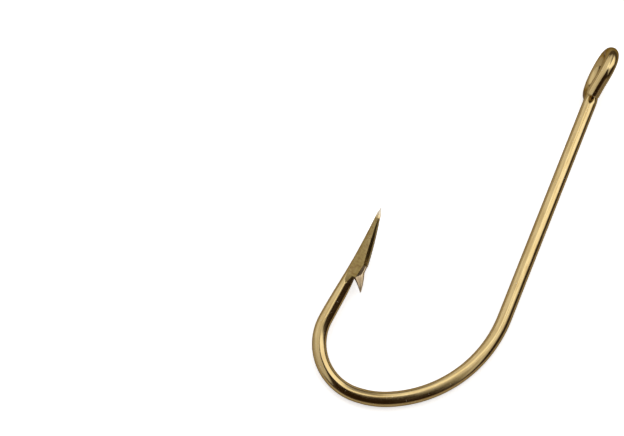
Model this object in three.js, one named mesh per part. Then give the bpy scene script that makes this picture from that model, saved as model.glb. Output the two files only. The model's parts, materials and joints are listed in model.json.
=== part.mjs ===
// A long-shank single fishing hook with a ring eye, lying on its side on a level surface.
//
// The real hook is one length of hard steel wire. It is drawn here as the five named stretches
// of that wire, which meet face to face: eye_ring, shank, bend, point and barb.
//
// Each stretch is first drawn in the hook's own plane, in millimetres:
//   x  across the hook, with the point on the -x side of the shank
//   y  along the shank, towards the eye, from 0 where the bend starts
//   z  square to the plane of the bend
// The whole hook is then laid down on its side and moved so that the origin is at the middle of
// the bottom of its bounding box, with +Z up.
import * as THREE from "three";

// Driving dimensions, in millimetres and degrees.
const WIRE = 2.0; // diameter of the round wire
const SHANK_LENGTH = 34.4; // straight wire between the bend and the neck of the eye
const BEND_ARCS = [
  { radius: 18.8, turn: 64 }, // the long easy curve out of the shank
  { radius: 12.6, turn: 22 },
  { radius: 7.15, turn: 99 }, // the tight curve up to the point
];
const FORGED_WIDTH = 1.045; // the pressed bend is this many times as wide in the hook's plane,
const FORGED_THICKNESS = 0.95; // and this many times as thick square to it
const FORGING_RUN_OUT = 12; // length over which the pressing fades at each end of the bend
const EYE_OUTER_DIAMETER = 8.8;
const NECK_RADIUS = 2.0; // centreline radius of the small curve from the shank into the eye
const EYE_FALL_ANGLE = 120; // where the ring leaves its circle and runs straight down to the neck
const EYE_RUN = 2.78; // length of that run, as far as the cut end of the wire
const POINT_LENGTH = 17.75; // from the end of the bend to the tip
const LYING_CONTACT = 68; // turn of the bend, in degrees, where the hook touches the surface

// The ground point, by distance along its axis from the end of the bend. Across is positive on the
// inner side, towards the shank; rise is the half thickness, alike above and below.
const OUTER_GRIND = { along: 10.5, outer: -0.66 }; // the outer side comes in as far as this
const CUT_START = 3.4; // the chisel cut that lifts the barb enters the wire's inner side here
const NOTCH = { along: 6.9, inner: 0.75 }; // the root of the notch behind the barb
const CORNER = { along: 9.3, rise: 0.67, ridge: 0.95, inner: 1.7 }; // the widest part of the blade
const BEVEL = { along: 16.1, rise: 0.22, ridge: -0.32, inner: 0 }; // the tip's bevels start here
const RUN_IN = { from: 5.2, to: 7.2, rise: 0.12 }; // how the main facets ease out of the round wire
const EDGE_RISE = 0.06; // half thickness of the blade's inner edge
const EDGE_BULGE = 0.1; // how far the inner edge stands out from a straight line
const OUTER_END = -0.85; // the outer side, where it turns in to the tip
const TIP_ACROSS = -0.64;
const TIP_RADIUS = 0.03;
const BARB_TIP = { along: 5.6, across: 2.46 };
const BARB_REACH = 30; // degrees round the wire, above and below, that the barb's root takes up
const BARB_CROWN = 1.15; // how far the middle of the barb's root stands up from a straight line

// How finely the surfaces are divided.
const SIDES = 24; // points round the wire
const BEND_STEP = 4; // degrees of turn between rings
const EYE_STEP = 7.5;

const RADIUS = WIRE / 2;
const EYE_RADIUS = (EYE_OUTER_DIAMETER - WIRE) / 2; // of the eye's centreline
const NECK_LENGTH = Math.sqrt(EYE_RADIUS ** 2 + 2 * NECK_RADIUS * EYE_RADIUS);
const EYE_CENTRE = new THREE.Vector3(0, SHANK_LENGTH + NECK_LENGTH, 0);
const BRONZE = { color: 0xb08d4f, roughness: 0.22, metalness: 1 };

const radians = THREE.MathUtils.degToRad;
const lerp = THREE.MathUtils.lerp;

/** How far value lies from start to end, held between 0 and 1. */
function share(value, start, end) {
  return THREE.MathUtils.clamp((value - start) / (end - start), 0, 1);
}

/** A closed solid through rings with the same number of points, with a flat cap at each end. */
function loft(rings) {
  const sides = rings[0].length;
  const points = rings.flat();
  const faces = [];
  for (let ring = 0; ring + 1 < rings.length; ring++) {
    for (let side = 0; side < sides; side++) {
      const here = ring * sides + side;
      const beside = ring * sides + ((side + 1) % sides);
      faces.push(here, beside, beside + sides);
      faces.push(here, beside + sides, here + sides);
    }
  }
  const capCentre = (ring) =>
    ring.reduce((sum, point) => sum.add(point), new THREE.Vector3()).divideScalar(sides);
  const first = points.push(capCentre(rings[0])) - 1;
  const last = points.push(capCentre(rings.at(-1))) - 1;
  const lastRing = (rings.length - 1) * sides;
  for (let side = 0; side < sides; side++) {
    const next = (side + 1) % sides;
    faces.push(first, next, side);
    faces.push(last, lastRing + side, lastRing + next);
  }
  const geometry = new THREE.BufferGeometry().setFromPoints(points);
  geometry.setIndex(faces);
  geometry.computeVertexNormals();
  return geometry;
}

/** The section of the wire: SIDES points, the first on the -across side, the next above it. */
function wireSection(width = 1, thickness = 1) {
  return Array.from({ length: SIDES }, (_, side) => {
    const angle = Math.PI - (2 * Math.PI * side) / SIDES;
    return new THREE.Vector2(
      RADIUS * width * Math.cos(angle),
      RADIUS * thickness * Math.sin(angle),
    );
  });
}

/** A section set square to the wire at a place, with its x along across and its y along up. */
function placeSection(section, place, across, up) {
  return section.map(({ x, y }) =>
    place.clone().addScaledVector(across, x).addScaledVector(up, y),
  );
}

/** Where the wire's centreline is after a turn of the bend, which way it runs, and how far on. */
function bendAt(turn) {
  const place = new THREE.Vector3();
  let done = 0;
  let length = 0;
  for (const arc of BEND_ARCS) {
    const part = Math.min(arc.turn, turn - done);
    const from = radians(done);
    const to = radians(done + part);
    place.x -= arc.radius * (Math.cos(from) - Math.cos(to));
    place.y -= arc.radius * (Math.sin(to) - Math.sin(from));
    length += arc.radius * (to - from);
    done += part;
    if (done >= turn) break;
  }
  const heading = radians(turn);
  const along = new THREE.Vector3(-Math.sin(heading), -Math.cos(heading), 0);
  const inward = new THREE.Vector3(-Math.cos(heading), Math.sin(heading), 0);
  return { place, along, inward, length };
}

const NORMAL = new THREE.Vector3(0, 0, 1);
const BEND_TURN = BEND_ARCS.reduce((sum, arc) => sum + arc.turn, 0);
const BEND_END = bendAt(BEND_TURN);

/** The straight wire from the bend to the neck of the eye. */
function shank() {
  const across = new THREE.Vector3(-1, 0, 0);
  const ends = [SHANK_LENGTH, 0].map((y) => new THREE.Vector3(0, y, 0));
  return loft(ends.map((place) => placeSection(wireSection(), place, across, NORMAL)));
}

/** The bend, pressed slightly flat between its two ends. */
function bend() {
  const steps = Math.ceil(BEND_TURN / BEND_STEP);
  const rings = [];
  for (let step = 0; step <= steps; step++) {
    const { place, inward, length } = bendAt((BEND_TURN * step) / steps);
    const fromEnd = Math.min(length, BEND_END.length - length);
    const pressed = THREE.MathUtils.smoothstep(fromEnd, 0, FORGING_RUN_OUT);
    const section = wireSection(
      lerp(1, FORGED_WIDTH, pressed),
      lerp(1, FORGED_THICKNESS, pressed),
    );
    rings.push(placeSection(section, place, inward, NORMAL));
  }
  return loft(rings);
}

/** The eye: the neck curves down off the shank, and the ring comes round and lies down on it. */
function eyeRing() {
  const neckTurn = (Math.acos(NECK_RADIUS / (NECK_RADIUS + EYE_RADIUS)) * 180) / Math.PI;
  const across = new THREE.Vector3(-1, 0, 0);
  const rings = [];
  const addRing = (y, z, heading) => {
    const outward = new THREE.Vector3(0, -Math.sin(heading), Math.cos(heading));
    const place = EYE_CENTRE.clone().add({ x: 0, y, z });
    rings.push(placeSection(wireSection().reverse(), place, across, outward));
  };
  const neckSteps = Math.ceil(neckTurn / EYE_STEP);
  for (let step = 0; step <= neckSteps; step++) {
    const turned = radians((neckTurn * step) / neckSteps);
    const y = -NECK_LENGTH + NECK_RADIUS * Math.sin(turned);
    addRing(y, -NECK_RADIUS * (1 - Math.cos(turned)), -turned);
  }
  const ringStart = -90 - neckTurn; // where the ring leaves the neck, round the eye's centre
  const ringSteps = Math.ceil((EYE_FALL_ANGLE - ringStart) / EYE_STEP);
  for (let step = 1; step <= ringSteps; step++) {
    const angle = radians(lerp(ringStart, EYE_FALL_ANGLE, step / ringSteps));
    const heading = angle + Math.PI / 2;
    addRing(EYE_RADIUS * Math.cos(angle), EYE_RADIUS * Math.sin(angle), heading);
  }
  const fall = radians(EYE_FALL_ANGLE);
  addRing(
    EYE_RADIUS * Math.cos(fall) - EYE_RUN * Math.sin(fall),
    EYE_RADIUS * Math.sin(fall) + EYE_RUN * Math.cos(fall),
    fall + Math.PI / 2,
  );
  return loft(rings);
}

/** A place in the hook's plane, from distances along and across the axis of the point. */
function onPoint(along, across) {
  return BEND_END.place
    .clone()
    .addScaledVector(BEND_END.along, along)
    .addScaledVector(BEND_END.inward, across);
}

/** Where the outer side of the point is, as a distance across its axis. */
function outerSide(along) {
  const grind = THREE.MathUtils.smoothstep(along, 0, OUTER_GRIND.along);
  const towardsTip = share(along, OUTER_GRIND.along, POINT_LENGTH);
  const turnedIn = (OUTER_END - OUTER_GRIND.outer) * towardsTip ** 2;
  return lerp(-RADIUS, OUTER_GRIND.outer, grind) + turnedIn;
}

/** Half thickness between the two main facets, which are flat and close up towards the tip. */
function facetRise(along) {
  const slope = (CORNER.rise - BEVEL.rise) / (BEVEL.along - CORNER.along);
  const runIn = RUN_IN.rise * (1 - share(along, RUN_IN.from, RUN_IN.to)) ** 2;
  return Math.min(RADIUS, CORNER.rise + slope * (CORNER.along - along) + runIn);
}

/** The round wire where the chisel cut and the main facets run into it. */
function cutWireSection(along) {
  const cut = lerp(RADIUS, NOTCH.inner, share(along, CUT_START, NOTCH.along) ** 2);
  const outer = -outerSide(along) / RADIUS;
  const rise = along < RUN_IN.from ? RADIUS : facetRise(along);
  return wireSection().map(
    ({ x, y }) =>
      new THREE.Vector2(
        Math.min(x < 0 ? x * outer : x, cut),
        THREE.MathUtils.clamp(y, -rise, rise),
      ),
  );
}

/** Half of the blade's section, from its outer side over the top to its inner edge. */
function bladeHalf(along) {
  const t = share(along, CORNER.along, BEVEL.along);
  const ridge = lerp(CORNER.ridge, BEVEL.ridge, t);
  const inner = lerp(CORNER.inner, BEVEL.inner, t) + EDGE_BULGE * 4 * t * (1 - t);
  const rise = facetRise(along);
  const outer = outerSide(along);
  const steepest = Math.asin(rise / RADIUS);
  const half = [];
  const onOuterSide = SIDES / 6; // points on the rounded outer side
  const onFacet = SIDES / 6; // points on the main facet
  const onEdge = SIDES / 2 - onOuterSide - onFacet - 1;
  for (let i = 0; i < onOuterSide; i++) {
    const angle = (steepest * i) / onOuterSide;
    half.push(new THREE.Vector2(outer * Math.cos(angle), RADIUS * Math.sin(angle)));
  }
  for (let i = 0; i <= onFacet; i++) {
    half.push(new THREE.Vector2(lerp(outer * Math.cos(steepest), ridge, i / onFacet), rise));
  }
  for (let i = 0; i <= onEdge; i++) {
    half.push(new THREE.Vector2(inner, EDGE_RISE * (1 - i / onEdge)));
  }
  return half;
}

/** The whole section: the half above the hook's plane, and its mirror image below. */
function mirrored(half) {
  const below = half.slice(1, -1).reverse();
  return half.concat(below.map(({ x, y }) => new THREE.Vector2(x, -y)));
}

/** The point: round wire, then the notch behind the barb, then the ground blade and its tip. */
function point() {
  const rings = [];
  const addRing = (along, section) =>
    rings.push(placeSection(section, onPoint(along, 0), BEND_END.inward, NORMAL));
  addRing(0, wireSection());
  const wireSteps = 10;
  for (let step = 1; step <= wireSteps; step++) {
    const along = (NOTCH.along * step) / wireSteps;
    addRing(along, cutWireSection(along));
  }
  const notch = cutWireSection(NOTCH.along);
  const corner = mirrored(bladeHalf(CORNER.along));
  const blendSteps = 4;
  for (let step = 1; step <= blendSteps; step++) {
    const blend = step / blendSteps;
    const section = notch.map((start, i) => start.clone().lerp(corner[i], blend));
    addRing(lerp(NOTCH.along, CORNER.along, blend), section);
  }
  const bladeSteps = 5;
  for (let step = 1; step <= bladeSteps; step++) {
    const along = lerp(CORNER.along, BEVEL.along, step / bladeSteps);
    addRing(along, mirrored(bladeHalf(along)));
  }
  const tip = wireSection().map(({ x, y }) =>
    new THREE.Vector2(x, y).multiplyScalar(TIP_RADIUS / RADIUS).add({ x: TIP_ACROSS, y: 0 }),
  );
  addRing(POINT_LENGTH, tip);
  return loft(rings);
}

/** The barb: a sliver that stands on the face between the notch's root and the blade's corner. */
function barb() {
  const wallTop = RADIUS * Math.sin(radians(BARB_REACH));
  const notchRoot = onPoint(NOTCH.along, NOTCH.inner);
  const bladeCorner = onPoint(CORNER.along, CORNER.inner);
  const up = (place, rise) => place.clone().setZ(rise);
  const middle = up(
    notchRoot.clone().lerp(bladeCorner, 0.5),
    lerp(wallTop, EDGE_RISE, 0.5) * BARB_CROWN,
  );
  const root = [
    up(middle, -middle.z),
    up(bladeCorner, -EDGE_RISE),
    up(bladeCorner, EDGE_RISE),
    middle,
    up(notchRoot, wallTop),
    up(notchRoot, 0),
    up(notchRoot, -wallTop),
  ];
  const tip = onPoint(BARB_TIP.along, BARB_TIP.across);
  const steps = 4;
  const smallest = 0.05; // size of the tip's end, as a share of the root
  const rings = [];
  for (let step = 0; step <= steps; step++) {
    const size = lerp(1, smallest, step / steps);
    rings.push(root.map((place) => tip.clone().lerp(place, size)));
  }
  return loft(rings);
}

/** The turn that lays the hook on its side, on the bottom of its eye and on its bend. */
function lyingDown() {
  const { place, along } = bendAt(LYING_CONTACT);
  const distance = EYE_CENTRE.clone().sub(place).cross(along).length();
  const drop = EYE_OUTER_DIAMETER / 2 - RADIUS * FORGED_THICKNESS;
  return new THREE.Quaternion().setFromAxisAngle(along, -Math.asin(drop / distance));
}

const hook = new THREE.Group();
const stretches = { eye_ring: eyeRing(), shank: shank(), bend: bend(), point: point(), barb: barb() };
for (const [name, geometry] of Object.entries(stretches)) {
  const mesh = new THREE.Mesh(geometry, new THREE.MeshStandardMaterial(BRONZE));
  mesh.name = name;
  hook.add(mesh);
}
hook.quaternion.copy(lyingDown());
hook.updateMatrixWorld(true);

const box = new THREE.Box3().setFromObject(hook, true);
hook.position.set(-(box.min.x + box.max.x) / 2, -(box.min.y + box.max.y) / 2, -box.min.z);

const part = new THREE.Group();
part.add(hook);
export default part;
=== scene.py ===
"""A bronzed single fishing hook lying on its side on a pale floor.

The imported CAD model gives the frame. This script draws each stretch of the wire again as a finer
piece in the same place: the round wire with its pressed bend, the bent ring eye with its cut end,
the ground point and the barb. It gives them a bronze-lacquered steel surface.
"""

import json
import math

import bpy
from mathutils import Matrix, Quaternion, Vector


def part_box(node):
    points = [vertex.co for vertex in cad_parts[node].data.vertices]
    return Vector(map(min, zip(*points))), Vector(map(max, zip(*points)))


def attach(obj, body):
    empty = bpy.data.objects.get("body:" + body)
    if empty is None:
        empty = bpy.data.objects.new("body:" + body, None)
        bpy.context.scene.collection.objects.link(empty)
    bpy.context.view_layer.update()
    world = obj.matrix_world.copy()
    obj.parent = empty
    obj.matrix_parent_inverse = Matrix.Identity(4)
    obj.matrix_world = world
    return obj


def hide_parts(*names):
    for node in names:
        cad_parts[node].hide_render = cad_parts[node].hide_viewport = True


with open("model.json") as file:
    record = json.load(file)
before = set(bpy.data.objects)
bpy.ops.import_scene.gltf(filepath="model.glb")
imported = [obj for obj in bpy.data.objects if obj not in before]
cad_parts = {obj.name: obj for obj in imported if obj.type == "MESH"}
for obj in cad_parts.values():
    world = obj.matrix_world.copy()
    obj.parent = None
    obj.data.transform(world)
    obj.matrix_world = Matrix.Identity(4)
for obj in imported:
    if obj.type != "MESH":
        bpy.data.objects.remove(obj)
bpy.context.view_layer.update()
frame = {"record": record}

MM = 0.001

# Driving dimensions in millimetres and degrees, the same as the CAD model's.
WIRE = 2.0
SHANK_LENGTH = 34.4
BEND_ARCS = ((18.8, 64), (12.6, 22), (7.15, 99))  # centreline radius, turn
FORGED_WIDTH = 1.045
FORGED_THICKNESS = 0.95
EYE_OUTER_DIAMETER = 8.8
NECK_RADIUS = 2.0
EYE_FALL = 120  # where the ring leaves its circle and runs straight down to the neck
POINT_LENGTH = 17.75
LYING_CONTACT = 68  # turn of the bend where the hook touches the surface

# The cut end of the eye's wire. The run is a little longer than the CAD model's, so that the end
# still reaches the neck with its rim rounded and off to one side.
EYE_RUN = 2.9  # length of the straight run, as far as the cut end
EYE_LEAN = 0.35  # how far to the side the cut end lies, off the middle of the shank
EYE_RIM = 0.16  # radius of the rounded rim

# The pressed bend, by distance from where the bend starts.
PRESSED = (3, 14, 20, 30)  # the pressing begins, is full, starts to fade and has gone
PRESSED_POWER = 3.6  # the power of the pressed section's outline: 2 is round, more is flatter
PRESSED_ROLL = 2  # degrees that the pressed faces lean towards the outer side
CREASE = (31, 39.5)  # past the bend the wire's inner shoulder is pressed flat from here to here
CREASE_ANGLE = 40  # the flat runs from the top of the wire to this many degrees above its side

# The ground point, by distance along its axis from the end of the bend. Across is positive on
# the inner side, towards the shank, and rise is the half thickness.
GRIND_ALONG, GRIND_OUTER = 10.5, -0.66
CUT_START = 3.4  # the chisel cut enters the wire's inner side here
NOTCH_ALONG, NOTCH_INNER = 6.9, 0.82
CORNER_ALONG, CORNER_RISE, CORNER_RIDGE, CORNER_INNER = 9.3, 0.67, 0.95, 1.70
BEVEL_ALONG, BEVEL_RISE, BEVEL_RIDGE, BEVEL_INNER = 16.1, 0.22, -0.32, 0.0
RUN_IN = (5.2, 7.2, 0.12)  # the main facets ease out of the round wire from, to, by this rise
EDGE_RISE, EDGE_WIDTH = 0.13, 0.2  # of the rounded inner edge
EDGE_BULGE = 0.1  # how far the inner edge stands out from a straight line
RIDGE_SAG = 0.05  # how far the ridge between the facets falls in from a straight line
ROOT_END, ROOT_RIDGE = 8.8, 1.0  # the main facet's edge where it leaves the barb's root
ROOT_FADE = 0.1  # length over which the barb's root gives way to the inner facet
NOTCH_RISE = 0.5  # half thickness of the notch's inner edge, at its root
WALL_DROP, WALL_LEDGE = 0.3, 0.05  # height and slant of the wall from the main facet to the barb
WALL_FOOT = 0.08  # the section reaches at least this far past the facet's edge there
WALL_OPENING = 9  # the foot of the wall is reached this many times sooner than the corner
STEEPEST_SIDE = 72  # degrees round the outer side, at most, before the top takes over
OUTER_END = -0.85  # the outer side before the tip turns in to the point
TIP_ACROSS = -0.64
TIP_RADIUS = 0.02
TIP_RIDGE, TIP_EDGE = 0.005, 0.01  # at the tip, the ridge's place and the edge's half thickness

# The barb: its two sides run from its root through a corner and bow out to its tip.
BARB_JOINED = 0.4  # share of its length that is still joined to the blade
BARB_CUT_ROOT = 8.9  # where the cut side starts, along the point, in the crease of the root
BARB_FAR_ROOT = (9.25, 1.64)  # where the far side starts, along and across
BARB_CUT_BOW = ((6.97, 0.86), (6.6, 1.5), (5.6, 2.46))  # start, middle and end of the free cut side
BARB_FAR_BOW = ((8.28, 1.70), (7.0, 2.28), (5.64, 2.54))  # and of the free far side
BARB_TUCK = 0.02  # how far under the main facet's edge the cut side starts
BARB_STEP = 0.18  # the barb's top lies this far below the main facet
BARB_THINNING = 0.6  # share of its thickness that the barb loses towards its tip
BARB_TOP_SHARE, BARB_TOP_FALL = 0.7, 0.55  # the top falls over this share of its width, by this share

TIP_WEAR = (15.9, 17.6)  # the lacquer is worn off the tip, more and more between these distances

RADIUS = WIRE / 2
EYE_RADIUS = (EYE_OUTER_DIAMETER - WIRE) / 2
NECK_LENGTH = math.sqrt(EYE_RADIUS**2 + 2 * NECK_RADIUS * EYE_RADIUS)
BEND_TURN = sum(turn for _, turn in BEND_ARCS)
UP = Vector((0, 0, 1))
SIDES = 64  # points round the wire
ON_OUTER, ON_TOP, ON_INNER = 12, 8, 8  # points on half the point's section, from its outer side
ON_EDGE = SIDES // 2 - ON_OUTER - ON_TOP - ON_INNER


def lerp(a, b, t):
    return a + (b - a) * t


def share(value, start, end):
    return min(1.0, max(0.0, (value - start) / (end - start)))


def smooth(t):
    return t * t * (3 - 2 * t)


# The hook's own plane ---------------------------------------------------------------------------


def bend_at(turn):
    """Place, direction along the wire, direction inwards and distance after a turn of the bend."""
    x = y = length = done = 0.0
    for radius, arc_turn in BEND_ARCS:
        part = min(arc_turn, turn - done)
        start, end = math.radians(done), math.radians(done + part)
        x -= radius * (math.cos(start) - math.cos(end))
        y -= radius * (math.sin(end) - math.sin(start))
        length += radius * (end - start)
        done += part
        if done >= turn:
            break
    heading = math.radians(turn)
    along = Vector((-math.sin(heading), -math.cos(heading), 0))
    inward = Vector((-math.cos(heading), math.sin(heading), 0))
    return Vector((x, y, 0)), along, inward, length


BEND_END, POINT_ALONG, POINT_INWARD, BEND_LENGTH = bend_at(BEND_TURN)


def lying_turn():
    """The turn that lays the hook on its side, on the bottom of its eye and on its bend."""
    place, along, _, _ = bend_at(LYING_CONTACT)
    from_contact = Vector((0, SHANK_LENGTH + NECK_LENGTH, 0)) - place
    distance = from_contact.cross(along).length
    drop = EYE_OUTER_DIAMETER / 2 - RADIUS * FORGED_THICKNESS
    return Quaternion(along, -math.asin(drop / distance))


LYING = lying_turn()


def frame_offset():
    """How far the turned hook moves to sit in the frame, from the eye's record and its box."""
    eye = next(m for m in frame["record"]["mounts"] if m["name"] == "eye")
    centre = LYING @ Vector((0, SHANK_LENGTH + NECK_LENGTH, 0))
    low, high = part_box("eye_ring")
    middle = (low + high) / 2 / MM
    return Vector(
        (
            eye["pos_m"][0] / MM - centre.x,
            high.y / MM - EYE_OUTER_DIAMETER / 2 - centre.y,
            middle.z - centre.z,
        )
    )


OFFSET = frame_offset()


def in_frame(point):
    """A point of the hook's own plane, in millimetres, as metres in the row's frame."""
    return (LYING @ point + OFFSET) * MM


# Meshes -----------------------------------------------------------------------------------------


def loft(name, rings, distances, sharp_angle=35):
    """A closed piece through rings of points, with a UV map.

    The map's first number is the distance along the wire, and its second the share of the way round.
    """
    sides = len(rings[0])
    vertices = [in_frame(point) for ring in rings for point in ring]
    faces, uvs = [], []
    for r in range(len(rings) - 1):
        for s in range(sides):
            n = (s + 1) % sides
            faces.append((r * sides + s, r * sides + n, (r + 1) * sides + n, (r + 1) * sides + s))
            u0, u1 = distances[r], distances[r + 1]
            v0, v1 = s / sides, (s + 1) / sides
            uvs.append(((u0, v0), (u0, v1), (u1, v1), (u1, v0)))
    last = (len(rings) - 1) * sides
    faces.append(tuple(reversed(range(sides))))
    uvs.append(tuple((distances[0], s / sides) for s in reversed(range(sides))))
    faces.append(tuple(range(last, last + sides)))
    uvs.append(tuple((distances[-1], s / sides) for s in range(sides)))
    mesh = bpy.data.meshes.new(name)
    mesh.from_pydata(vertices, [], faces)
    layer = mesh.uv_layers.new(name="wire")
    for polygon, corners in zip(mesh.polygons, uvs):
        for loop, uv in zip(polygon.loop_indices, corners):
            layer.data[loop].uv = uv
    mesh.shade_smooth()
    mesh.set_sharp_from_angle(angle=math.radians(sharp_angle))
    piece = bpy.data.objects.new(name, mesh)
    bpy.context.scene.collection.objects.link(piece)
    return piece


def creased(x, y, weight):
    """A point of the wire's section, with the shoulder on its inner side pressed to a flat."""
    edge = math.cos(math.radians(CREASE_ANGLE))
    if not 0 < x < edge:
        return y
    flat = 1 - (1 - math.sin(math.radians(CREASE_ANGLE))) * x / edge
    return math.copysign(lerp(abs(y), flat, weight), y)


def crease_at(distance):
    return smooth(share(distance, *CREASE))


def wire_section(width=1.0, thickness=1.0, power=2.0, crease=0.0):
    """Points round the wire, from the -across side over the top.

    A power over 2 flattens the faces.
    """
    section = []
    for s in range(SIDES):
        angle = math.pi - 2 * math.pi * s / SIDES
        across, rise = math.cos(angle), math.sin(angle)
        rise = creased(across, rise, crease)
        across = math.copysign(abs(across) ** (2 / power), across)
        section.append((RADIUS * width * across, RADIUS * thickness * rise))
    return section


def place_section(section, place, across, up):
    return [place + across * x + up * y for x, y in section]


def shank():
    across = Vector((-1, 0, 0))
    steps = 40
    rings, distances = [], []
    for i in range(steps + 1):
        y = lerp(SHANK_LENGTH, 0, i / steps)
        rings.append(place_section(wire_section(), Vector((0, y, 0)), across, UP))
        distances.append(-y)
    return loft("shank_wire", rings, distances)


def bend():
    begins, full, fades, gone = PRESSED
    steps = 150
    rings, distances = [], []
    for i in range(steps + 1):
        place, along, inward, length = bend_at(BEND_TURN * i / steps)
        pressed = smooth(share(length, begins, full)) * smooth(share(-length, -gone, -fades))
        section = wire_section(
            lerp(1, FORGED_WIDTH, pressed),
            lerp(1, FORGED_THICKNESS, pressed),
            lerp(2, PRESSED_POWER, pressed),
            crease_at(length),
        )
        roll = Quaternion(along, -math.radians(PRESSED_ROLL) * pressed)
        rings.append(place_section(section, place, roll @ inward, roll @ UP))
        distances.append(length)
    return loft("bend_wire", rings, distances)


def eye_ring():
    """The neck, the ring and the cut end of the wire, whose rim is slightly rounded."""
    centre = Vector((0, SHANK_LENGTH + NECK_LENGTH, 0))
    neck_turn = math.acos(NECK_RADIUS / (NECK_RADIUS + EYE_RADIUS))
    across = Vector((-1, 0, 0))
    start, end = -math.radians(90) - neck_turn, math.radians(EYE_FALL)
    whole = NECK_RADIUS * neck_turn + EYE_RADIUS * (end - start) + EYE_RUN
    lean_start = whole - EYE_RUN - EYE_RADIUS
    rings, distances = [], []

    def add(y, z, heading, travelled, size=1.0):
        outward = Vector((0, -math.sin(heading), math.cos(heading)))
        section = [(x * size, h * size) for x, h in reversed(wire_section())]
        aside = across * EYE_LEAN * smooth(share(travelled, lean_start, whole))
        rings.append(place_section(section, centre + aside + Vector((0, y, z)), across, outward))
        distances.append(-SHANK_LENGTH - travelled)

    steps = 16
    for i in range(steps + 1):
        turned = neck_turn * i / steps
        y = -NECK_LENGTH + NECK_RADIUS * math.sin(turned)
        add(y, -NECK_RADIUS * (1 - math.cos(turned)), -turned, NECK_RADIUS * turned)
    travelled = NECK_RADIUS * neck_turn
    steps = 110
    for i in range(1, steps + 1):
        angle = lerp(start, end, i / steps)
        y, z = EYE_RADIUS * math.cos(angle), EYE_RADIUS * math.sin(angle)
        add(y, z, angle + math.pi / 2, travelled + EYE_RADIUS * (angle - start))
    travelled += EYE_RADIUS * (end - start)
    heading = end + math.pi / 2
    steps = 24
    runs = [((EYE_RUN - EYE_RIM) * i / steps, 1.0) for i in range(1, steps + 1)]
    steps = 5
    for i in range(1, steps + 1):
        curve = math.radians(90 * i / steps)
        run = EYE_RUN - EYE_RIM * (1 - math.sin(curve))
        runs.append((run, 1 - EYE_RIM * (1 - math.cos(curve)) / RADIUS))
    for run, size in runs:
        place = Vector((y, z)) + Vector((math.cos(heading), math.sin(heading))) * run
        add(place.x, place.y, heading, travelled + run, size)
    return loft("eye_ring_wire", rings, distances)


# The point --------------------------------------------------------------------------------------


def on_point(along, across, rise=0.0):
    return BEND_END + POINT_ALONG * along + POINT_INWARD * across + UP * rise


def outer_side(along):
    """Where the outer side of the point is, as a distance across its axis."""
    towards_tip = share(along, GRIND_ALONG, POINT_LENGTH) ** 2
    outer = lerp(-RADIUS, GRIND_OUTER, smooth(share(along, 0, GRIND_ALONG)))
    outer += (OUTER_END - GRIND_OUTER) * towards_tip
    return lerp(outer, TIP_ACROSS - TIP_RADIUS, share(along, BEVEL_ALONG, POINT_LENGTH) ** 2)


def facet_rise(along):
    """Half thickness between the two main facets, or more than the wire's before they start."""
    start, end, rise = RUN_IN
    slope = (CORNER_RISE - BEVEL_RISE) / (BEVEL_ALONG - CORNER_ALONG)
    flat = CORNER_RISE + slope * (CORNER_ALONG - min(along, BEVEL_ALONG))
    flat += rise * (1 - share(along, start, end)) ** 2
    return lerp(flat, TIP_RADIUS, share(along, BEVEL_ALONG, POINT_LENGTH))


def barb_crease(along):
    """Where the main facet ends at the crease along the barb's root, as a distance across."""
    return lerp(NOTCH_INNER, ROOT_RIDGE, share(along, NOTCH_ALONG, ROOT_END) ** 0.6)


def outer_half(along, rise):
    """The rounded outer side, up to where the main facet or the top of the wire takes over."""
    outer = outer_side(along)
    steepest = min(math.asin(min(rise, 1.0)), math.radians(STEEPEST_SIDE))
    angles = [steepest * i / ON_OUTER for i in range(ON_OUTER + 1)]
    half = [(outer * math.cos(angle), math.sin(angle)) for angle in angles]
    return half[:-1], half[-1][0]


def wire_half(along):
    """Half of the wire's section before the notch, cut by the main facet and by the chisel."""
    crease = crease_at(BEND_LENGTH + along)
    rise = facet_rise(along) if along > RUN_IN[0] else WIRE
    cut = lerp(RADIUS, NOTCH_INNER, share(along, CUT_START, NOTCH_ALONG) ** 2)
    outer = outer_side(along)
    flat_end, side_end = 0.97, 0.98  # of the wire's height and reach, so that no points fall together

    def height(x):
        reach = -outer if x < 0 else RADIUS
        return creased(x, math.sqrt(max(0.0, 1 - (x / reach) ** 2)), crease)

    def x_where(high):
        """Where the inner side of the wire comes down to a height."""
        low_x, high_x = 0.0, RADIUS
        for _ in range(40):
            middle = (low_x + high_x) / 2
            if height(middle) > high:
                low_x = middle
            else:
                high_x = middle
        return low_x

    half, left = outer_half(along, rise)
    right = min(x_where(min(rise, flat_end)), cut)
    for i in range(ON_TOP):
        x = lerp(left, right, i / ON_TOP)
        half.append((x, min(rise, height(x))))
    top = min(rise, height(right))
    foot = min(height(min(cut, side_end)), top * 0.7)  # the inner side's lowest stretch ends here
    for i in range(ON_INNER):
        y = lerp(top, foot, i / ON_INNER)
        half.append((min(cut, max(right, x_where(y))), y))
    for i in range(ON_EDGE + 1):
        y = foot * (1 - i / ON_EDGE)
        half.append((min(cut, x_where(y) if y > 0 else RADIUS), y))
    return half


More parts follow.
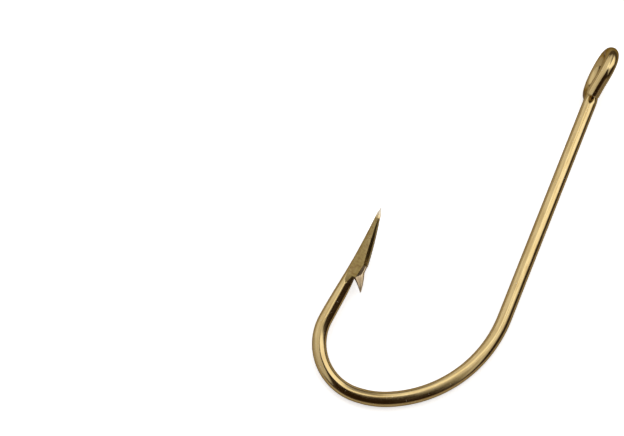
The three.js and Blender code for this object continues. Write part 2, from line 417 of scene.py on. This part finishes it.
def blade_half(along):
    """Half of the section past the notch: the main facet, then the barb's root or inner facet."""
    rise = facet_rise(along)
    t = share(along, CORNER_ALONG, BEVEL_ALONG)
    bow = 4 * t * (1 - t)
    on_root = 1 - share(along, CORNER_ALONG - ROOT_FADE, CORNER_ALONG)  # 1 beside the barb, then 0
    ridge = lerp(CORNER_RIDGE, BEVEL_RIDGE, t) - RIDGE_SAG * bow
    ridge = lerp(ridge, barb_crease(along), on_root)
    inner = lerp(CORNER_INNER, BEVEL_INNER, t) + EDGE_BULGE * bow
    to_corner = share(along, NOTCH_ALONG, CORNER_ALONG)
    past_wall = lerp(NOTCH_INNER, ridge + WALL_FOOT, min(1, WALL_OPENING * to_corner))
    inner = max(lerp(NOTCH_INNER, inner, to_corner), past_wall)
    edge = lerp(EDGE_RISE, NOTCH_RISE, on_root * (1 - to_corner))
    to_tip = share(along, BEVEL_ALONG, POINT_LENGTH)
    ridge = lerp(ridge, TIP_ACROSS + TIP_RIDGE, to_tip)
    inner = lerp(inner, TIP_ACROSS + TIP_RADIUS, to_tip ** 1.3)
    edge = lerp(edge, TIP_EDGE, to_tip)
    rounded = min(EDGE_WIDTH, 0.4 * (inner - ridge)) * (1 - on_root)
    half, left = outer_half(along, rise)
    half += [(lerp(left, ridge, i / ON_TOP), rise) for i in range(ON_TOP)]
    half.append((ridge, rise))
    drop = min(WALL_DROP, rise - edge) * on_root
    ledge = min(ridge + WALL_LEDGE, inner)
    for i in range(1, ON_INNER):
        u = (i - 1) / (ON_INNER - 1)
        wall = (lerp(ledge, inner, u), lerp(rise - drop, edge, u))
        facet = (lerp(ridge, inner - rounded, i / ON_INNER), lerp(rise, edge, i / ON_INNER))
        half.append((lerp(facet[0], wall[0], on_root), lerp(facet[1], wall[1], on_root)))
    for i in range(ON_EDGE + 1):
        angle = math.radians(90 * i / ON_EDGE)
        half.append((inner - rounded * (1 - math.sin(angle)), edge * math.cos(angle)))
    half[-1] = (inner, 0.0)
    return half


def mirrored(half):
    return half + [(x, -y) for x, y in reversed(half[1:-1])]


def point():
    """The wire past the bend, the notch, and the blade with its ground facets."""
    ends = (0, CUT_START, NOTCH_ALONG, CORNER_ALONG, BEVEL_ALONG, POINT_LENGTH)
    stations = []
    for start, end, steps in zip(ends, ends[1:], (12, 36, 36, 40, 12)):
        stations += [lerp(start, end, i / steps) for i in range(steps)]
    stations.append(POINT_LENGTH)
    halves = [wire_half(along) if along <= NOTCH_ALONG else blade_half(along) for along in stations]
    rings = []
    for along, half in zip(stations, halves):
        rings.append([on_point(along, across, rise) for across, rise in mirrored(half)])
    piece = loft("point_blade", rings, [BEND_LENGTH + along for along in stations], 24)
    for polygon in piece.data.polygons:
        ring, side = divmod(polygon.index, SIDES)
        side = min(side, SIDES - 1 - side)
        if ring + 1 < len(stations) and is_ground(stations[ring], halves[ring], side):
            polygon.material_index = 1
    return piece


def is_ground(along, half, side):
    """Whether the face between two neighbouring points of a half section was ground flat."""
    if side < ON_OUTER or along >= BEVEL_ALONG:
        return False
    on_facet = min(half[side][1], half[side + 1][1]) > facet_rise(along) - 0.001
    return on_facet or (along >= NOTCH_ALONG and side >= ON_OUTER + ON_TOP)


def bowed(points, t):
    """A place on the curve that leaves its first point for its middle one and ends at its last."""
    start, middle, end = (Vector(point) for point in points)
    return start.lerp(middle, t).lerp(middle.lerp(end, t), t)


def barb():
    """The sliver lifted by the chisel: a flat cut side, a sloping top and a rounded far side."""

    def cut_side(t):
        if t < BARB_JOINED:
            along = lerp(BARB_CUT_ROOT, BARB_CUT_BOW[0][0], t / BARB_JOINED)
            return Vector((along, barb_crease(along) - BARB_TUCK * (1 - t / BARB_JOINED)))
        return bowed(BARB_CUT_BOW, (t - BARB_JOINED) / (1 - BARB_JOINED))

    def far_side(t):
        if t < BARB_JOINED:
            return Vector(BARB_FAR_ROOT).lerp(Vector(BARB_FAR_BOW[0]), t / BARB_JOINED)
        return bowed(BARB_FAR_BOW, (t - BARB_JOINED) / (1 - BARB_JOINED))

    steps = 40
    on_cut, on_top, on_far = 5, 8, 10
    rings, distances = [], []
    for r in range(steps + 1):
        t = r / steps
        near, far = cut_side(t), far_side(t)
        root_height = facet_rise(max(near.x, NOTCH_ALONG)) - BARB_STEP
        height = root_height * (1 - BARB_THINNING * share(t, BARB_JOINED, 1))
        half = [(0, height * i / on_cut) for i in range(on_cut)]
        slope = [i / on_top for i in range(on_top)]
        half += [(BARB_TOP_SHARE * i, height * (1 - BARB_TOP_FALL * i)) for i in slope]
        for i in range(on_far + 1):
            angle = math.radians(90 * i / on_far)
            across = lerp(BARB_TOP_SHARE, 1, math.sin(angle))
            half.append((across, (1 - BARB_TOP_FALL) * height * math.cos(angle)))
        half[-1] = (1, 0)
        section = reversed(mirrored(half))
        rings.append([on_point(*near.lerp(far, across), rise) for across, rise in section])
        distances.append(BEND_LENGTH + near.x)
    return loft("barb_sliver", rings, distances, 30)


# Materials --------------------------------------------------------------------------------------


class Nodes:
    """Short ways to add the shader nodes that the materials and the studio share."""

    def __init__(self, tree):
        self.tree = tree

    def add(self, kind, **values):
        node = self.tree.nodes.new(kind)
        for key, value in values.items():
            setattr(node, key, value)
        return node

    def put(self, socket, value):
        """Links a node's output to a socket, or sets the socket to a plain value."""
        if isinstance(value, bpy.types.NodeSocket):
            self.tree.links.new(value, socket)
        else:
            socket.default_value = value

    def math(self, operation, *values):
        node = self.add("ShaderNodeMath", operation=operation)
        for socket, value in zip(node.inputs, values):
            self.put(socket, value)
        return node.outputs[0]

    def vector_math(self, operation, output, *values):
        node = self.add("ShaderNodeVectorMath", operation=operation)
        for socket, value in zip(node.inputs, values):
            self.put(socket, value)
        return node.outputs[output]

    def ramp(self, value, low, high, to_low=0.0, to_high=1.0):
        """The value's place between low and high, as a number between to_low and to_high."""
        node = self.add("ShaderNodeMapRange", interpolation_type="SMOOTHSTEP")
        for socket, number in zip(node.inputs, (value, low, high, to_low, to_high)):
            self.put(socket, number)
        return node.outputs[0]

    def mix(self, share_of_second, first, second):
        node = self.add("ShaderNodeMix", data_type="RGBA")
        self.put(node.inputs["Factor"], share_of_second)
        self.put(node.inputs[6], first)
        self.put(node.inputs[7], second)
        return node.outputs[2]

    def mix_value(self, share_of_second, first, second):
        node = self.add("ShaderNodeMix", data_type="FLOAT")
        self.put(node.inputs[0], share_of_second)
        self.put(node.inputs[2], first)
        self.put(node.inputs[3], second)
        return node.outputs[0]

    def noise(self, vector, scale, detail, roughness):
        node = self.add("ShaderNodeTexNoise")
        self.put(node.inputs["Vector"], vector)
        self.put(node.inputs["Scale"], scale)
        self.put(node.inputs["Detail"], detail)
        self.put(node.inputs["Roughness"], roughness)
        return node.outputs["Fac"]


def on_wire(n):
    """Distance along the wire, and a place on a unit circle round it, from the wire's UV map."""
    uv = n.add("ShaderNodeUVMap", uv_map="wire").outputs[0]
    split = n.add("ShaderNodeSeparateXYZ")
    n.put(split.inputs[0], uv)
    turn = n.math("MULTIPLY", split.outputs[1], 2 * math.pi)
    return split.outputs[0], n.math("COSINE", turn), n.math("SINE", turn)


def stretched(n, place, stretch):
    """The place on the wire as a vector whose pattern is drawn out along the wire."""
    along, across, rise = place
    join = n.add("ShaderNodeCombineXYZ")
    n.put(join.inputs[0], n.math("MULTIPLY", along, 1 / stretch))
    n.put(join.inputs[1], across)
    n.put(join.inputs[2], rise)
    return join.outputs[0]


def bump(n, height, distance, below=None):
    node = n.add("ShaderNodeBump")
    n.put(node.inputs["Strength"], 1.0)
    n.put(node.inputs["Distance"], distance * MM)
    n.put(node.inputs["Height"], height)
    if below:
        n.put(node.inputs["Normal"], below)
    return node.outputs[0]


def bronze(name, roughness, tones, lines, line_depth, line_tone=0.35):
    """Steel under bronze lacquer that varies in tone, with worn specks and lines left by the tool.

    The tones are the deep, the pale and the brown one. The lines are given as how far their pattern
    is drawn out along the wire, and how close together they are.
    """
    material = bpy.data.materials.new(name)
    material.use_nodes = True
    n = Nodes(material.node_tree)
    shader = material.node_tree.nodes["Principled BSDF"]
    place = on_wire(n)

    def pattern(stretch, scale, detail, coarseness):
        return n.noise(stretched(n, place, stretch), scale, detail, coarseness)

    line = pattern(*lines, 3, 0.6)
    streaks = pattern(9, 2.2, 3, 0.55)
    patches = pattern(2.5, 0.9, 3, 0.6)
    specks = pattern(0.35, 3.1, 2, 0.5)
    sag = pattern(3, 0.8, 1.5, 0.5)
    deep, pale, brown = tones
    colour = n.mix(n.ramp(streaks, 0.3, 0.7), deep, pale)
    colour = n.mix(n.ramp(patches, 0.5, 0.75, 0, 0.4), colour, brown)
    colour = n.mix(n.ramp(line, 0.5, 0.66, 0, line_tone), colour, brown)
    tip = n.ramp(place[0], *(BEND_LENGTH + along for along in TIP_WEAR))
    worn = n.math("MAXIMUM", n.ramp(specks, 0.70, 0.76), tip)
    colour = n.mix(worn, colour, WORN_STEEL)
    n.put(shader.inputs["Base Color"], colour)
    n.put(shader.inputs["Metallic"], 1.0)
    gloss = n.ramp(line, 0.3, 0.7, roughness * 0.8, roughness * 1.35)
    n.put(shader.inputs["Roughness"], n.mix_value(worn, gloss, WORN_ROUGHNESS))
    n.put(shader.inputs["Specular Tint"], RIM_TINT)
    n.put(shader.inputs["Normal"], bump(n, line, line_depth, bump(n, sag, SAG_DEPTH)))
    return material


BRONZE_TONES = ((0.47, 0.35, 0.155, 1), (0.54, 0.42, 0.21, 1), (0.36, 0.24, 0.10, 1))
GROUND_TONES = ((0.16, 0.115, 0.04, 1), (0.22, 0.165, 0.072, 1), (0.125, 0.07, 0.022, 1))
BARB_TONES = ((0.46, 0.35, 0.21, 1), (0.55, 0.44, 0.29, 1), (0.36, 0.25, 0.14, 1))
WORN_STEEL = (0.56, 0.52, 0.46, 1)
WORN_ROUGHNESS = 0.35
RIM_TINT = (0.37, 0.29, 0.20, 1)  # the lacquer's reflection at grazing angles
SAG_DEPTH = 0.006  # millimetres by which the lacquer runs thick and thin


# Stage ------------------------------------------------------------------------------------------

# The studio is a tent of soft light with an open, dark side behind the camera. Compass angles run
# from +Y towards +X, and down angles from straight overhead, both in degrees. A patch is a round
# part of the sky: its compass and down angles, its radius and the softness of its edge. A wedge
# lies between two compass angles, and its offsets move its two sides off straight overhead. A foot
# is the down angle where a light ends, and its softness.
TENT_FOOT = (70, 9)
TENT_BRIGHT, TENT_EDGES = 330, (-0.5, 0.4)  # it is as bright as the west light towards this angle
WEST_LIGHT, WEST_PATCH = 1.15, (287, 74, 34, 10)
SOUTH_WEST_LIGHT, SOUTH_WEST_PATCH = 0.8, (240, 74, 28, 8)
FRONT_LIGHT, FRONT_SIDE, FRONT_FOOT = 1.9, (6, 72), (66, 9)
OVERHEAD_PATCH = (345, 20, 17, 4)  # as bright as the front light
GAP_PATCH, GAP_SIDES, GAP_LEVEL = (4, 50, 30, 8), (354, 372), 0.3  # dimmer, beside the front light
GAP_OFFSETS, GAP_SOFTNESS = (-0.04, -0.04), 0.05
OPEN_SIDE, OPEN_OFFSETS, OPEN_SOFTNESS = (120, 196), (-0.143, -0.06), 0.045
EAST_DARK_PATCH = (90, 71, 27, 5)
LOW_LIGHT, LOW_PATCH, LOW_TINT = 0.42, (132, 100, 38, 8), (1.0, 0.88, 0.74)
FAINT_LIGHT, FAINT_FOOT = 0.1, (76, 10)
SKY_LEVEL = (0.035, 0.018, 0.007)  # what is left in the dark parts

FLOOR_SIZE = 6.0  # metres
FLOOR_SEEN, FLOOR_GLOW = 0.9, 0.55  # the floor's tone and its own light, as the camera sees it
# Painted pool of light: as reflections and bounce light see it, the floor's colour is pale near the
# hook and fades dark further off.
PAINTED_POOL_LIT = (0.80, 0.75, 0.68, 1)
PAINTED_POOL_DIM = (0.13, 0.11, 0.09, 1)
PAINTED_POOL_MIDDLE = (-0.02, 0.0, 0.0)  # the middle of a pool of light painted into the floor's colour, as reflections and bounce light see it
PAINTED_POOL_FADE = (0.03, 0.13)  # metres from there over which the painted pool of light fades

LENS = 57.7  # millimetres, for a picture 36 mm wide
AZIMUTH, ELEVATION, ROLL = -10.46, 73.43, 13.56  # of the camera's line of sight, in degrees
AIM = (-0.01892, -0.01024, 0.002)  # the place in the middle of the picture
DISTANCE = 0.14153  # from there to the camera


def direction(compass, down):
    compass, down = math.radians(compass), math.radians(down)
    return (math.sin(down) * math.sin(compass), math.sin(down) * math.cos(compass), math.cos(down))


class Sky(Nodes):
    """Soft-edged parts of the studio's sky, each 1 inside and 0 outside."""

    def __init__(self, tree):
        super().__init__(tree)
        self.towards = self.add("ShaderNodeTexCoord").outputs["Generated"]

    def closeness(self, compass, down):
        return self.vector_math("DOT_PRODUCT", "Value", self.towards, direction(compass, down))

    def patch(self, compass, down, radius, softness):
        edges = [math.cos(math.radians(radius + side * softness)) for side in (1, -1)]
        return self.ramp(self.closeness(compass, down), *edges)

    def half(self, compass, offset=0.0, softness=0.06):
        return self.ramp(self.closeness(compass, 90), offset - softness, offset + softness)

    def sector(self, start, end, offsets=(0.0, 0.0), softness=0.06):
        """The wedge between two compass angles less than half a turn apart."""
        first = self.half(start + 90, offsets[0], softness)
        return self.math("MULTIPLY", first, self.half(end - 90, offsets[1], softness))

    def above(self, down, softness):
        edges = [math.cos(math.radians(down + side * softness)) for side in (1, -1)]
        return self.ramp(self.closeness(0, 0), *edges)


def studio():
    world = bpy.data.worlds.new("studio")
    bpy.context.scene.world = world
    world.use_nodes = True
    n = Sky(world.node_tree)
    background = world.node_tree.nodes["Background"]

    bright = n.closeness(TENT_BRIGHT, 90)
    tent = n.ramp(bright, *TENT_EDGES, SOUTH_WEST_LIGHT, WEST_LIGHT)
    level = n.math("MULTIPLY", tent, n.above(*TENT_FOOT))
    west = n.math("MULTIPLY", n.patch(*WEST_PATCH), WEST_LIGHT)
    level = n.math("MAXIMUM", level, west)
    south_west = n.math("MULTIPLY", n.patch(*SOUTH_WEST_PATCH), SOUTH_WEST_LIGHT)
    level = n.math("MAXIMUM", level, south_west)
    front = n.math("MULTIPLY", n.sector(*FRONT_SIDE), n.above(*FRONT_FOOT))
    front = n.math("MAXIMUM", front, n.patch(*OVERHEAD_PATCH))
    level = n.mix_value(front, level, FRONT_LIGHT)
    between = n.sector(*GAP_SIDES, GAP_OFFSETS, GAP_SOFTNESS)
    gap = n.math("MULTIPLY", n.patch(*GAP_PATCH), between)
    level = n.math("MULTIPLY", level, n.ramp(gap, 0, 1, 1, GAP_LEVEL))
    wedge = n.sector(*OPEN_SIDE, OPEN_OFFSETS, OPEN_SOFTNESS)
    dark = n.math("MAXIMUM", wedge, n.patch(*EAST_DARK_PATCH))
    level = n.math("MULTIPLY", level, n.math("SUBTRACT", 1, dark))
    low = n.math("MULTIPLY", n.patch(*LOW_PATCH), LOW_LIGHT)
    faint = n.math("MULTIPLY", n.math("SUBTRACT", 1, n.above(*FAINT_FOOT)), FAINT_LIGHT)
    low = n.vector_math("MULTIPLY", "Vector", n.math("MAXIMUM", low, faint), LOW_TINT)
    colour = n.vector_math("ADD", "Vector", level, SKY_LEVEL)
    colour = n.vector_math("ADD", "Vector", colour, low)
    seen = n.add("ShaderNodeLightPath").outputs["Is Camera Ray"]
    n.put(background.inputs["Color"], n.mix(seen, colour, (1, 1, 1, 1)))
    n.put(background.inputs["Strength"], 1.0)


def floor():
    """A large pale floor. The camera sees it brightly lit, as on a light table. Elsewhere its colour
    holds a painted pool of light, pale near the hook and dark further off.
    """
    bpy.ops.mesh.primitive_plane_add(size=FLOOR_SIZE)
    plane = bpy.context.object
    plane.name = "floor"
    material = bpy.data.materials.new("floor")
    material.use_nodes = True
    n = Nodes(material.node_tree)
    shader = material.node_tree.nodes["Principled BSDF"]
    seen = n.add("ShaderNodeLightPath").outputs["Is Camera Ray"]
    place = n.add("ShaderNodeNewGeometry").outputs["Position"]
    # Painted pool of light: the colour that reflections and bounce light see is pale near the hook
    # and dark further off.
    distance = n.vector_math("DISTANCE", "Value", place, PAINTED_POOL_MIDDLE)
    painted_pool = n.mix(n.ramp(distance, *PAINTED_POOL_FADE), PAINTED_POOL_LIT, PAINTED_POOL_DIM)
    n.put(shader.inputs["Base Color"], n.mix(seen, painted_pool, (FLOOR_SEEN, FLOOR_SEEN, FLOOR_SEEN, 1)))
    n.put(shader.inputs["Roughness"], 1.0)
    n.put(shader.inputs["Specular IOR Level"], 0.0)
    n.put(shader.inputs["Emission Color"], (1, 1, 1, 1))
    n.put(shader.inputs["Emission Strength"], n.math("MULTIPLY", seen, FLOOR_GLOW))
    plane.data.materials.append(material)


def camera():
    data = bpy.data.cameras.new("camera")
    data.lens = LENS
    data.sensor_width = 36
    data.clip_start = 0.005
    camera_object = bpy.data.objects.new("camera", data)
    bpy.context.scene.collection.objects.link(camera_object)
    azimuth, elevation = math.radians(AZIMUTH), math.radians(ELEVATION)
    level_part = math.cos(elevation)
    forward = Vector(
        (
            math.sin(azimuth) * level_part,
            math.cos(azimuth) * level_part,
            -math.sin(elevation),
        )
    )
    camera_object.location = Vector(AIM) - forward * DISTANCE
    camera_object.rotation_mode = "QUATERNION"
    level = forward.to_track_quat("-Z", "Y")
    camera_object.rotation_quaternion = Quaternion(forward, -math.radians(ROLL)) @ level
    bpy.context.scene.camera = camera_object


def pieces():
    """Draws each stretch of the wire and puts it in place of the CAD model's own."""
    wire = bronze("bronzed_wire", 0.13, BRONZE_TONES, (26, 9), 0.0012)
    ground = bronze("ground_facets", 0.18, GROUND_TONES, (0.7, 2.6), 0.005, 0.6)
    lifted = bronze("lifted_barb", 0.28, BARB_TONES, (1.2, 2.4), 0.004, 0.5)
    stretches = (
        (eye_ring, "eye_ring", "bronzed_wire", (wire,)),
        (shank, "shank", "bronzed_wire", (wire,)),
        (bend, "bend", "bronzed_wire", (wire,)),
        (point, "point", "bronzed_point", (wire, ground)),
        (barb, "barb", "bronzed_point", (lifted,)),
    )
    for make, node, slot, materials in stretches:
        piece = make()
        for material in materials:
            piece.data.materials.append(material)
        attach(piece, "root")
        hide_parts(node)


camera()
pieces()
studio()
floor()
bpy.context.scene.view_settings.view_transform = "Standard"
